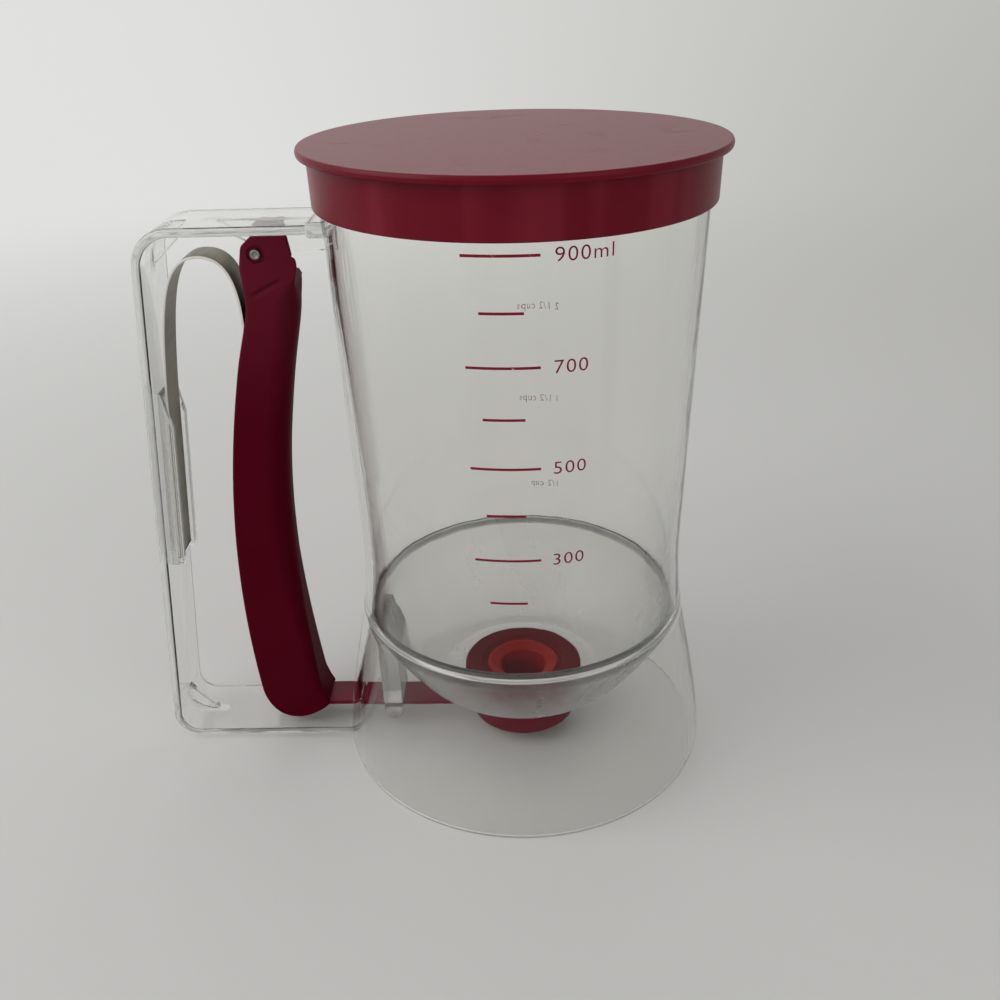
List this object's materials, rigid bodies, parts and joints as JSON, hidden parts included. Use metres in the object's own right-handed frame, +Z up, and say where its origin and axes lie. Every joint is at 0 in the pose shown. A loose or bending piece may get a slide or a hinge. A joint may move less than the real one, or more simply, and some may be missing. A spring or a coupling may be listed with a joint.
{
  "type": "pancake batter dispenser",
  "caption": "Clear measuring jug with push-on lid, funnel bottom, slide valve and a loop handle whose sprung trigger opens the valve.",
  "frame": {"origin": "centre of the foot ring on the jug's axis, on the table", "axes": "+Z up along the jug's axis, -X along the handle, +Y across the handle band"},
  "size_m": [0.1728, 0.1158, 0.1874],
  "materials": {
    "clear_plastic": "gloss",
    "dark_red_plastic": "gloss",
    "red_plastic": "gloss",
    "crimson_plastic": "satin",
    "lid_plastic": "satin",
    "orange_silicone": "satin",
    "steel": "satin"
  },
  "bodies": {
    "jug": {"measuring_barrel": "clear_plastic", "base_skirt": "clear_plastic", "funnel_bowl": "clear_plastic", "handle_frame": "clear_plastic", "pivot_tongue": "clear_plastic", "spring_pocket": "clear_plastic", "slide_guide": "clear_plastic", "valve_seat": "dark_red_plastic", "seal_ring": "orange_silicone", "nozzle_housing": "red_plastic", "pivot_pin": "steel", "leaf_spring": "steel"},
    "trigger": {"trigger_lever": "crimson_plastic", "link_pin": "steel"},
    "slide": {"slide_valve": "red_plastic"},
    "lid": {"lid_cap": "lid_plastic"}
  },
  "joints": [
    {"name": "trigger_pivot", "type": "hinge", "parent": "jug", "child": "trigger", "pos_m": [-0.0692, 0, 0.16], "axis": [0, 1, 0], "range_deg": [0, 6.65], "stiffness_Nm_per_rad": 1.2, "springref_deg": -8.59, "deforming": ["leaf_spring"]},
    {"name": "valve_slide", "type": "slide", "parent": "jug", "child": "slide", "axis": [-1, 0, 0], "range_m": [0, 0.0172]},
    {"name": "lid_lift", "type": "slide", "parent": "jug", "child": "lid", "axis": [0, 0, 1], "range_m": [0, 0.045]}
  ],
  "couplings": [
    {"joint": "valve_slide", "follows": "trigger_pivot", "m_per_rad": 0.1465}
  ]
}
